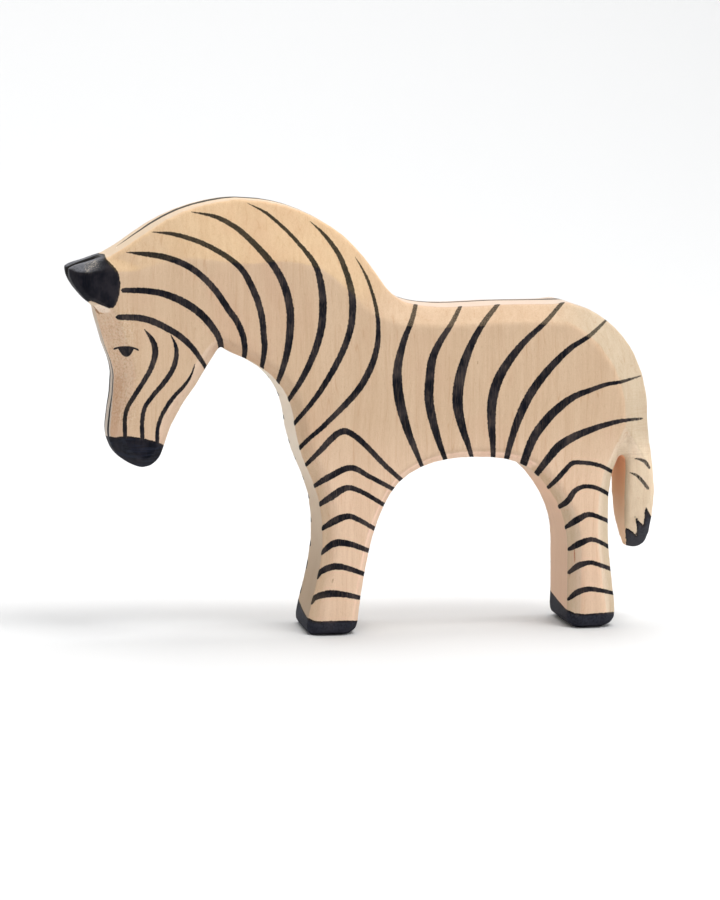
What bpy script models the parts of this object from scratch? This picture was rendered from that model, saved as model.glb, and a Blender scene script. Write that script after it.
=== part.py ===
"""Zebra figurine: one board sawn to outline, then shaped with knife and sander.

Metres, +Z up. The head points to -X and the tail to +X. The board's two faces
look to -Y and +Y. The origin is under the middle of the figure, on the ground.
"""
import math

import bmesh
import bpy
import numpy as np
from mathutils import Vector
from mathutils.geometry import delaunay_2d_cdt

MM = 0.001

# Driving sizes, in millimetres
FIGURE_LENGTH = 154.1    # from the ear tips to the back of the tail
FIGURE_HEIGHT = 113.3    # from the soles to the top of the crest
BOARD_THICKNESS = 26.0

BODY_EDGE = 10.2      # half width of the square edge left between the facets
CREST_EDGE = 8.2
POLL_EDGE = 11.6
FACE_EDGE = 6.3
EAR_EDGE = 9.4
RUMP_EDGE = 8.6
TAIL_EDGE = 7.2

CREST_FACET = 16.5    # how far the facets reach in from the outline
SLOPE_FACET = 9.5
BACK_FACET = 4.8
RUMP_FACET = 7.6
FACE_FACET = 4.6
LEG_FACET = 3.6
BELLY_FACET = 2.2
JAW_FACET = 2.6
EAR_FACET = 2.6
TAIL_FACET = 1.4
SOLE_FACET = 0.9

EAR_SIDE = 12.6       # half thickness where the ears leave the head
EAR_TIP_SIDE = 10.4
TAIL_SIDE = 8.1       # half thickness across the tail
SLOT_SIDE = 10.2      # half thickness at the top of the saw slot

CREST_CROWN = 0.35    # rise of the edge's middle line above its two corners
BACK_CROWN = 0.6
LEG_CROWN = 0.15

GROOVE_WIDTH = 12.0   # the notch that parts the two ears, from tips to poll
GROOVE_DEPTH = 3.3
GROOVE_TIP = (-79.0, 91.2)     # its bottom line, on the drawing below
GROOVE_POLL = (-68.4, 95.6)

MAX_TURN = math.radians(11.0)
MAX_STEP = 7.0
MERGE = 0.00001

SIDE = BOARD_THICKNESS / 2.0

# The figure is drawn between these bounds, and its length and height stretch
# the drawing. Its x = DRAWN_MIDDLE becomes the part's x = 0.
DRAWN_LEFT = -76.3
DRAWN_RIGHT = 77.8
DRAWN_TOP = 113.3
DRAWN_MIDDLE = (DRAWN_LEFT + DRAWN_RIGHT) / 2.0
STRETCH_X = FIGURE_LENGTH / (DRAWN_RIGHT - DRAWN_LEFT)
STRETCH_Z = FIGURE_HEIGHT / DRAWN_TOP

# The outline, counter-clockwise as seen from -Y, in runs that meet at corners.
# A row is x, z, half edge width, facet reach, half thickness inside the facet.
# The first two are places on the drawing and the other three are real sizes.
OUTLINE = (
    ("ear_underside", LEG_CROWN, (
        (DRAWN_LEFT, 95.4, EAR_EDGE - 1.2, 1.1, EAR_TIP_SIDE),
        (-76.1, 93.2, EAR_EDGE - 0.6, 1.4, EAR_TIP_SIDE + 1.0),
        (-74.3, 90.0, EAR_EDGE, 1.6, EAR_SIDE - 0.4),
        (-72.1, 87.4, EAR_EDGE, 1.6, EAR_SIDE),
        (-69.6, 85.4, 8.0, 2.4, SIDE),
    )),
    ("face", 0.25, (
        (-69.6, 85.4, 7.0, 3.4, SIDE),
        (-69.4, 83.2, FACE_EDGE, 4.0, SIDE),
        (-68.6, 80.4, FACE_EDGE, FACE_FACET, SIDE),
        (-67.3, 75.8, FACE_EDGE, FACE_FACET, SIDE),
        (-65.8, 72.0, FACE_EDGE, FACE_FACET, SIDE),
        (-65.0, 68.0, 6.5, FACE_FACET, SIDE),
        (-65.4, 63.0, 6.0, 4.4, SIDE),
        (-66.1, 59.2, 5.2, 4.2, SIDE),
        (-66.6, 55.1, 4.8, 4.0, SIDE),
        (-66.6, 52.6, 4.8, 3.9, SIDE),
        (-65.6, 49.2, 5.4, 3.8, SIDE),
        (-63.6, 46.7, 6.4, 3.6, SIDE),
        (-60.8, 44.9, 7.4, 3.2, SIDE),
        (-58.0, 44.1, 8.0, 3.0, SIDE),
        (-55.2, 44.9, 8.6, 2.8, SIDE),
        (-53.2, 47.2, 9.2, JAW_FACET, SIDE),
        (-52.2, 50.0, 9.6, JAW_FACET, SIDE),
        (-50.6, 55.0, BODY_EDGE, JAW_FACET, SIDE),
        (-47.6, 60.4, BODY_EDGE, JAW_FACET, SIDE),
        (-44.0, 65.4, BODY_EDGE, JAW_FACET, SIDE),
        (-41.1, 70.3, BODY_EDGE, JAW_FACET, SIDE),
        (-38.0, 75.4, BODY_EDGE, JAW_FACET, SIDE),
    )),
    ("chest", LEG_CROWN, (
        (-38.0, 75.4, BODY_EDGE, 2.0, SIDE),
        (-34.9, 73.5, BODY_EDGE, 2.0, SIDE),
        (-31.0, 71.8, BODY_EDGE, 2.0, SIDE),
        (-27.0, 69.4, BODY_EDGE, 2.2, SIDE),
        (-23.4, 66.1, BODY_EDGE, 2.4, SIDE),
        (-20.8, 62.2, BODY_EDGE, 2.6, SIDE),
        (-19.3, 57.4, BODY_EDGE, 2.8, SIDE),
        (-18.5, 52.2, BODY_EDGE, 3.0, SIDE),
        (-17.0, 46.6, BODY_EDGE, 3.3, SIDE),
        (-14.2, 40.0, BODY_EDGE, LEG_FACET, SIDE),
        (-12.4, 34.6, BODY_EDGE, LEG_FACET, SIDE),
        (-11.7, 29.2, BODY_EDGE, LEG_FACET, SIDE),
        (-11.7, 22.6, BODY_EDGE, LEG_FACET, SIDE),
        (-12.6, 16.4, BODY_EDGE, LEG_FACET, SIDE),
        (-14.4, 8.6, BODY_EDGE, LEG_FACET, SIDE),
        (-15.5, 4.0, BODY_EDGE, LEG_FACET, SIDE),
        (-15.6, 1.2, BODY_EDGE, 3.2, SIDE),
        (-14.8, 0.0, BODY_EDGE, 2.6, SIDE),
    )),
    ("front_sole", 0.0, (
        (-14.8, 0.0, BODY_EDGE, SOLE_FACET, SIDE),
        (-4.7, 0.0, BODY_EDGE, SOLE_FACET, SIDE),
    )),
    ("arch", LEG_CROWN, (
        (-4.7, 0.0, BODY_EDGE, 1.8, SIDE),
        (-2.6, 1.5, BODY_EDGE, 2.2, SIDE),
        (-2.0, 4.0, BODY_EDGE, 2.4, SIDE),
        (-1.2, 10.0, BODY_EDGE, 2.4, SIDE),
        (0.1, 18.0, BODY_EDGE, 2.4, SIDE),
        (2.0, 26.0, BODY_EDGE, 2.4, SIDE),
        (4.8, 33.3, BODY_EDGE, BELLY_FACET, SIDE),
        (8.6, 39.2, BODY_EDGE, BELLY_FACET, SIDE),
        (14.6, 43.1, BODY_EDGE, BELLY_FACET, SIDE),
        (21.4, 45.0, BODY_EDGE, BELLY_FACET, SIDE),
        (28.5, 45.5, BODY_EDGE, BELLY_FACET, SIDE),
        (36.6, 44.8, BODY_EDGE, BELLY_FACET, SIDE),
        (43.2, 42.2, 9.9, 2.4, SIDE),
        (48.2, 36.8, 9.9, 2.8, SIDE),
        (51.7, 30.4, 9.9, 3.2, SIDE),
        (53.3, 24.4, BODY_EDGE, 3.4, SIDE),
        (53.5, 17.0, BODY_EDGE, 3.4, SIDE),
        (53.5, 8.0, BODY_EDGE, 3.4, SIDE),
        (53.4, 4.0, BODY_EDGE, 3.2, SIDE),
        (53.7, 1.4, BODY_EDGE, 2.4, SIDE),
        (55.6, 0.0, BODY_EDGE, 1.6, SIDE),
    )),
    ("hind_sole", 0.0, (
        (55.6, 0.0, BODY_EDGE, SOLE_FACET, SIDE),
        (62.8, 0.0, BODY_EDGE, SOLE_FACET, SIDE),
    )),
    ("hind_leg_rear", LEG_CROWN, (
        (62.8, 0.0, BODY_EDGE, 1.6, SIDE),
        (65.4, 0.9, BODY_EDGE, 2.4, SIDE),
        (66.6, 3.2, BODY_EDGE, 3.2, SIDE),
        (66.0, 10.6, BODY_EDGE, LEG_FACET, SIDE),
        (65.1, 18.4, BODY_EDGE, LEG_FACET, SIDE),
        (64.6, 27.0, BODY_EDGE, LEG_FACET, SIDE),
        (64.7, 35.0, BODY_EDGE, LEG_FACET, SIDE),
        (65.8, 41.0, 9.8, LEG_FACET, SIDE),
        (67.6, 45.1, 9.2, 1.2, SLOT_SIDE),
    )),
    ("slot_top", 0.0, (
        (67.6, 45.1, 9.2, 1.0, SLOT_SIDE),
        (69.4, 45.1, 8.6, 1.0, SLOT_SIDE - 0.6),
    )),
    ("tail_inside", 0.0, (
        (69.4, 45.1, 8.6, TAIL_FACET, SLOT_SIDE - 0.6),
        (69.7, 41.0, 8.2, TAIL_FACET, TAIL_SIDE + 1.0),
        (69.7, 34.0, 7.3, TAIL_FACET, TAIL_SIDE + 0.1),
        (70.0, 28.0, 6.3, TAIL_FACET, TAIL_SIDE - 0.8),
        (70.7, 23.2, 3.8, TAIL_FACET, TAIL_SIDE - 3.3),
        (71.5, 20.0, 1.9, 0.9, TAIL_SIDE - 5.6),
    )),
    ("rump", LEG_CROWN, (
        (71.5, 20.0, 1.9, 0.9, TAIL_SIDE - 5.6),
        (74.4, 19.7, 2.0, 1.0, TAIL_SIDE - 5.6),
        (76.4, 21.0, 2.6, 1.2, TAIL_SIDE - 4.9),
        (77.2, 24.2, 4.4, TAIL_FACET, TAIL_SIDE - 2.7),
        (77.6, 28.6, 6.2, TAIL_FACET, TAIL_SIDE - 0.8),
        (DRAWN_RIGHT, 35.0, TAIL_EDGE, TAIL_FACET, TAIL_SIDE + 0.1),
        (77.3, 42.0, 7.6, TAIL_FACET, TAIL_SIDE + 0.7),
        (76.3, 48.4, 8.0, 1.8, TAIL_SIDE + 1.4),
        (75.6, 54.6, 8.3, RUMP_FACET, SIDE),
        (75.2, 60.8, RUMP_EDGE, RUMP_FACET, SIDE),
        (73.9, 66.7, RUMP_EDGE, RUMP_FACET, SIDE),
        (71.7, 72.0, RUMP_EDGE, RUMP_FACET, SIDE),
        (68.4, 76.8, 8.8, RUMP_FACET, SIDE),
        (64.0, 80.9, 9.2, 7.0, SIDE),
        (58.9, 84.0, 9.6, 6.2, SIDE),
        (53.2, 85.9, BODY_EDGE, 5.4, SIDE),
    )),
    ("back", BACK_CROWN, (
        (53.2, 85.9, BODY_EDGE, 5.4, SIDE),
        (45.0, 85.9, BODY_EDGE, BACK_FACET, SIDE),
        (34.0, 85.8, BODY_EDGE, BACK_FACET, SIDE),
        (23.0, 85.4, BODY_EDGE, BACK_FACET, SIDE),
        (15.0, 85.8, BODY_EDGE, 5.0, SIDE),
        (9.6, 87.1, BODY_EDGE, 6.0, SIDE),
        (5.6, 90.1, BODY_EDGE, 8.0, SIDE),
    )),
    ("crest", CREST_CROWN, (
        (5.6, 90.1, BODY_EDGE, 8.0, SIDE),
        (0.3, 97.5, CREST_EDGE + 1.5, SLOPE_FACET, SIDE),
        (-5.4, 103.5, CREST_EDGE + 0.9, 10.5, SIDE),
        (-12.3, 108.1, CREST_EDGE + 0.4, 12.5, SIDE),
        (-20.0, 111.4, CREST_EDGE, 14.8, SIDE),
        (-27.0, 112.9, CREST_EDGE, 16.2, SIDE),
        (-33.0, DRAWN_TOP, CREST_EDGE, CREST_FACET, SIDE),
        (-40.0, 112.4, CREST_EDGE + 1.2, 15.6, SIDE),
        (-47.8, 110.1, POLL_EDGE - 1.2, 13.2, SIDE),
        (-55.0, 106.4, POLL_EDGE - 0.4, 10.2, SIDE),
        (-62.0, 101.6, POLL_EDGE, 7.4, SIDE),
        (-66.4, 98.6, POLL_EDGE, 5.0, SIDE),
    )),
    ("ear_top", 0.0, (
        (-66.4, 98.6, POLL_EDGE, 3.4, SIDE),
        (-68.2, 98.2, POLL_EDGE - 0.6, 3.4, SIDE),
        (-71.6, 97.1, EAR_EDGE + 0.4, EAR_FACET, EAR_SIDE),
        (-75.0, 96.2, EAR_EDGE - 0.6, 1.5, EAR_TIP_SIDE + 1.0),
        (DRAWN_LEFT, 95.4, EAR_EDGE - 1.2, 1.1, EAR_TIP_SIDE),
    )),
)

# Where the board's flat face ends above the tail, from the rump to the hind leg
TAIL_CREASE = ((67.2, 53.6), (66.2, 49.6), (64.4, 45.4), (62.3, 41.2))


def on_figure(point):
    """Real x and z of a place on the drawing, the figure's middle at x = 0."""
    return ((point[0] - DRAWN_MIDDLE) * STRETCH_X, point[1] * STRETCH_Z)


def spline_point(p0, p1, p2, p3, share):
    """Point on a centripetal curve through p1 and p2; all columns are carried."""
    knots = [0.0]
    for start, end in ((p0, p1), (p1, p2), (p2, p3)):
        gap = math.hypot(end[0] - start[0], end[1] - start[1])
        knots.append(knots[-1] + max(gap, 1e-6) ** 0.5)
    t = knots[1] + share * (knots[2] - knots[1])

    def blend(start, end, t_start, t_end):
        weight = (t - t_start) / (t_end - t_start)
        return start + (end - start) * weight

    a1 = blend(p0, p1, knots[0], knots[1])
    a2 = blend(p1, p2, knots[1], knots[2])
    a3 = blend(p2, p3, knots[2], knots[3])
    b1 = blend(a1, a2, knots[0], knots[2])
    b2 = blend(a2, a3, knots[1], knots[3])
    return blend(b1, b2, knots[1], knots[2])


def sample_run(rows):
    """Rows along one run, close together only where the outline turns."""
    points = np.array([on_figure(row) + row[2:] for row in rows])
    if len(points) == 2:
        return [points[0], points[1]]
    before = 2.0 * points[0] - points[1]
    after = 2.0 * points[-1] - points[-2]
    padded = np.vstack([before, points, after])
    samples = [points[0]]
    for i in range(1, len(padded) - 2):
        window = padded[i - 1:i + 3]
        fine = [spline_point(*window, share) for share in np.linspace(0.0, 1.0, 13)]
        steps = np.diff(np.array(fine)[:, :2], axis=0)
        angles = np.unwrap(np.arctan2(steps[:, 1], steps[:, 0]))
        turn = np.abs(np.diff(angles)).sum()
        length = np.hypot(steps[:, 0], steps[:, 1]).sum()
        count = max(1, math.ceil(turn / MAX_TURN), math.ceil(length / MAX_STEP))
        for step in range(1, count + 1):
            row = spline_point(*window, step / count)
            row[2:] = window[1][2:] + (window[2][2:] - window[1][2:]) * step / count
            samples.append(row)
    return samples


def sample_outline():
    """Closed list of stations: point, facet reach before and after, edge, side, crown."""
    stations = []
    for index, (_, crown, rows) in enumerate(OUTLINE):
        last_rows = sample_run(OUTLINE[index - 1][2])
        samples = sample_run(rows)
        for number, row in enumerate(samples[:-1]):
            reach_before = last_rows[-1][3] if number == 0 else row[3]
            crown_here = crown
            if number == 0:
                crown_here = min(crown, OUTLINE[index - 1][1])
            stations.append({
                "at": row[:2].copy(),
                "before": reach_before,
                "after": row[3],
                "edge": row[2],
                "side": row[4],
                "crown": crown_here,
            })
    return stations


def edge_normals(points):
    """Inward unit normal of each edge of a counter-clockwise closed outline."""
    steps = np.roll(points, -1, axis=0) - points
    lengths = np.hypot(steps[:, 0], steps[:, 1])
    return np.stack([-steps[:, 1] / lengths, steps[:, 0] / lengths], axis=1)


def inset(points, before, after):
    """Move each point in by two reaches, one from each edge that meets there."""
    normals = edge_normals(points)
    moved = []
    for i, point in enumerate(points):
        first = normals[i - 1]
        second = normals[i]
        cross = first[0] * second[1] - first[1] * second[0]
        if abs(cross) < 0.12:
            mean = first + second
            mean = mean / np.hypot(*mean)
            shift = mean * (before[i] + after[i]) / 2.0
        elif cross < -0.5:
            # A deep inward corner: its reach spreads round it as one step back
            mean = first + second
            mean = mean / max(np.hypot(*mean), 1e-6)
            shift = mean * (before[i] + after[i]) / 2.0
        else:
            shift = np.linalg.solve(np.array([first, second]), np.array([before[i], after[i]]))
        moved.append(point + shift)
    return np.array(moved)


def drop_overrun(inner, points, reaches):
    """Indexes of inset points that stay clear of every part of the outline."""
    dense = []
    limits = []
    for i in range(len(points)):
        j = (i + 1) % len(points)
        for share in np.linspace(0.0, 1.0, 8, endpoint=False):
            dense.append(points[i] + (points[j] - points[i]) * share)
            limits.append(reaches[i] + (reaches[j] - reaches[i]) * share)
    dense = np.array(dense)
    limits = np.array(limits)
    kept = []
    for i, point in enumerate(inner):
        gaps = np.hypot(dense[:, 0] - point[0], dense[:, 1] - point[1])
        if (gaps - 0.88 * limits).min() > 0.0:
            kept.append(i)
    return kept


def carve_board():
    """Mesh data of the sawn and shaped board, closed, in metres."""
    stations = sample_outline()
    ridge = np.array([s["at"] for s in stations])
    crown = np.array([s["crown"] for s in stations])
    edge = np.array([s["edge"] for s in stations])
    side = np.array([s["side"] for s in stations])
    before = np.array([s["before"] for s in stations])
    after = np.array([s["after"] for s in stations])

    corner = inset(ridge, crown, crown)
    reach = np.minimum(before, after)
    inner = inset(corner, before, after)
    kept = drop_overrun(inner, corner, reach)

    count = len(ridge)
    flat = [Vector(point) for point in corner]
    heights = list(edge)
    for i in kept:
        flat.append(Vector(inner[i]))
        heights.append(side[i])
    crease_start = len(flat)
    for point in TAIL_CREASE:
        flat.append(Vector(on_figure(point)))
        heights.append(SIDE)

    edges = [(i, (i + 1) % count) for i in range(count)]
    ring = list(range(count, count + len(kept)))
    edges += [(ring[i], ring[(i + 1) % len(ring)]) for i in range(len(ring))]
    edges += [(i, i + 1) for i in range(crease_start, len(flat) - 1)]
    faces = [tuple(range(count))]
    result = delaunay_2d_cdt(flat, edges, faces, 1, 1e-6)
    new_points, new_faces, origins = result[0], result[2], result[3]

    plane = []
    lifts = []
    for point, origin in zip(new_points, origins):
        plane.append((point[0], point[1]))
        if origin:
            lifts.append(heights[origin[0]])
        else:
            lifts.append(None)
    for i, lift in enumerate(lifts):
        if lift is None:
            gaps = [math.hypot(plane[i][0] - p.x, plane[i][1] - p.y) for p in flat]
            lifts[i] = heights[gaps.index(min(gaps))]

    mesh = bmesh.new()
    near = [mesh.verts.new((p[0] * MM, -h * MM, p[1] * MM)) for p, h in zip(plane, lifts)]
    far = [mesh.verts.new((p[0] * MM, h * MM, p[1] * MM)) for p, h in zip(plane, lifts)]
    middle = [mesh.verts.new((p[0] * MM, 0.0, p[1] * MM)) for p in ridge]
    for face in new_faces:
        mesh.faces.new([near[i] for i in face])
        mesh.faces.new([far[i] for i in reversed(face)])
    place = {}
    for i, origin in enumerate(origins):
        for source in origin:
            if source < count:
                place[source] = i
    for i in range(count):
        j = (i + 1) % count
        a = place[i]
        b = place[j]
        mesh.faces.new((near[b], near[a], middle[i], middle[j]))
        mesh.faces.new((middle[j], middle[i], far[a], far[b]))
    bmesh.ops.remove_doubles(mesh, verts=mesh.verts, dist=MERGE)
    bmesh.ops.recalc_face_normals(mesh, faces=mesh.faces)
    return mesh


def make_object(name, mesh, collection):
    data = bpy.data.meshes.new(name)
    mesh.to_mesh(data)
    mesh.free()
    thing = bpy.data.objects.new(name, data)
    collection.objects.link(thing)
    return thing


def ear_groove():
    """Knife-cut V along the top of the head's point, ending in a stop cut."""
    mesh = bmesh.new()
    tip_x, tip_z = on_figure(GROOVE_TIP)
    poll_x, poll_z = on_figure(GROOVE_POLL)
    tip = Vector((tip_x, 0.0, tip_z))
    poll = Vector((poll_x, 0.0, poll_z))
    along = (poll - tip).normalized()
    upward = Vector((-along.z, 0.0, along.x))
    slope = GROOVE_WIDTH / 2.0 / GROOVE_DEPTH
    height = 2.0 * GROOVE_DEPTH
    sections = []
    for apex, lean in ((tip, 0.0), (poll, 1.6)):
        top = apex + upward * height + along * lean
        sections.append([
            mesh.verts.new(apex * MM),
            mesh.verts.new((top - Vector((0.0, height * slope, 0.0))) * MM),
            mesh.verts.new((top + Vector((0.0, height * slope, 0.0))) * MM),
        ])
    first, second = sections
    mesh.faces.new(first)
    mesh.faces.new(list(reversed(second)))
    for i in range(3):
        j = (i + 1) % 3
        mesh.faces.new((first[j], first[i], second[i], second[j]))
    bmesh.ops.recalc_face_normals(mesh, faces=mesh.faces)
    return mesh


def wood_material():
    material = bpy.data.materials.new("zebra_wood")
    material.use_nodes = True
    shader = material.node_tree.nodes["Principled BSDF"]
    shader.inputs["Base Color"].default_value = (0.66, 0.48, 0.31, 1.0)
    shader.inputs["Roughness"].default_value = 0.62
    return material


def build():
    for thing in list(bpy.data.objects):
        bpy.data.objects.remove(thing, do_unlink=True)
    collection = bpy.data.collections.new("zebra_figurine")
    bpy.context.scene.collection.children.link(collection)
    cutters = bpy.data.collections.new("cutters")
    bpy.context.scene.collection.children.link(cutters)

    zebra = make_object("zebra", carve_board(), collection)
    zebra.data.materials.append(wood_material())
    groove = make_object("ear_groove", ear_groove(), cutters)
    groove.hide_render = True
    groove.display_type = "WIRE"

    cut = zebra.modifiers.new("ear_groove", "BOOLEAN")
    cut.operation = "DIFFERENCE"
    cut.solver = "EXACT"
    cut.object = groove


build()
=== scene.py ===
"""Zebra figurine: the carved piece with its wood, paint and wear, in plain studio light."""
import math

import bpy
import numpy as np
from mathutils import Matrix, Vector, noise


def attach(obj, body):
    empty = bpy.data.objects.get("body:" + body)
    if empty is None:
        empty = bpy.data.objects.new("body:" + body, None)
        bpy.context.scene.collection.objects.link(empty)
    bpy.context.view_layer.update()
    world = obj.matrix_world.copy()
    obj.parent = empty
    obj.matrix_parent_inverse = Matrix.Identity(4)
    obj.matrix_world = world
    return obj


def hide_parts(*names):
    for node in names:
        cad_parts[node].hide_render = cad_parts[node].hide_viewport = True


MM = 0.001

# Sizes in millimetres
MESH_STEP = 0.60         # spacing of the fine mesh
WELD_DISTANCE = 0.01     # corners of the solid that lie closer than this are joined
EDGE_ROUNDS = 1          # smoothing passes that take the sharpness off sawn edges
EDGE_SOFTNESS = 0.5      # strength of each pass
HOLLOW_DEPTH = 0.09      # how far the knife and sander leave the faces from flat
HOLLOW_SIZE = 13.0
CLOSE_HOLLOWS = 0.35     # size and depth of the closer hollows, as a share of the broad ones
CLOSE_SHIFT = Vector((7.0, 3.0, 1.0))
SOLE_FLAT = 0.4          # up to this height the feet are left flat
SOLE_BLEND = 1.5         # and over this height above it the hollows come in
BEND_ROUNDS = 3          # smoothing passes of the field that tells edges from hollows
BODY_EDGE = 10.2         # half width of the square edge between the facets
RUMP_EDGE = 8.6
RUMP_START = 50.0        # the edge narrows from here to the rump's end
RUMP_END = 68.0
FACE_EDGE = 6.2
FACE_BACK = -58.0        # the face lies in front of this and between these heights
FACE_LOWEST = 47.0
FACE_HIGHEST = 86.0
TAIL_EDGE = ((20.0, 1.8), (23.5, 4.0), (28.0, 6.1), (34.0, 7.2), (42.0, 7.9), (48.0, 8.2))
CREST_EDGE = ((-66.0, 11.6), (-55.0, 11.2), (-48.0, 10.4), (-40.0, 9.4), (-33.0, 8.2), (-20.0, 8.2),
              (-6.0, 9.1), (5.0, 10.2))
CREST_EDGE_LOWEST = 88.0
WRAP = 0.7               # how far a stripe runs on over the corner
FAR_WRAP = 1.9           # the same for the stripes on the right of the chest and front leg
FAR_TAPER = 0.7          # these narrow more slowly, to a point
FAR_CHEST_BACK = -10.0
FAR_CHEST_TOP = 70.0
NARROWING = 1.1          # loss of half width for each millimetre past the wrap
CURVE_STEPS = 6          # short straight steps between two given points of a stroke
REACH = 0.95             # distance from a stroke's edge at which its field is let go
MARGIN = 4.0             # fields are worked out no further than this from the paint
FAR_OFF = 99.0           # stands for any large distance
OUTSIDE = 9.0            # taken as negative, a field's value well outside the paint
IDLE_OFFSET = 4.0        # the stroke fields where no stroke is near
IDLE_HALF_WIDTH = -3.0
LAYERS = 3               # neighbouring strokes are kept in separate fields
BOARD_HALF = 13.0        # the flat faces, on which the paint was measured
DEEPEST = 5.0            # paint is carried no further than this below the faces
FACE_DEEPEST = 13.0      # on the face it follows the sight line all the way
TAIL_IN_FRONT = 68.5
TAIL_TOP = 48.0
HOOF_RISE = 2.3          # the hooves' painted tops climb towards the right side
SLOT_FACE_END = 71.8     # the tail's inner face, left bare, lies in front of this
SLOT_BARE = 1.5          # how fast the tuft's paint ends on that face

# The photograph's view: a long lens, level with the withers, turned to the head
VIEW_TURN = math.radians(9.73)
VIEW_RISE = math.radians(6.50)
VIEW_DISTANCE = 0.850
VIEW_LENS = 129.9
SENSOR_WIDTH = 36.0
VIEW_TARGET = Vector((-0.65, 0.0, 46.85)) * MM
LOOKING = Vector((math.sin(VIEW_TURN) * math.cos(VIEW_RISE),
                  math.cos(VIEW_TURN) * math.cos(VIEW_RISE),
                  -math.sin(VIEW_RISE)))
VIEW_FROM = VIEW_TARGET - LOOKING * VIEW_DISTANCE

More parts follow.
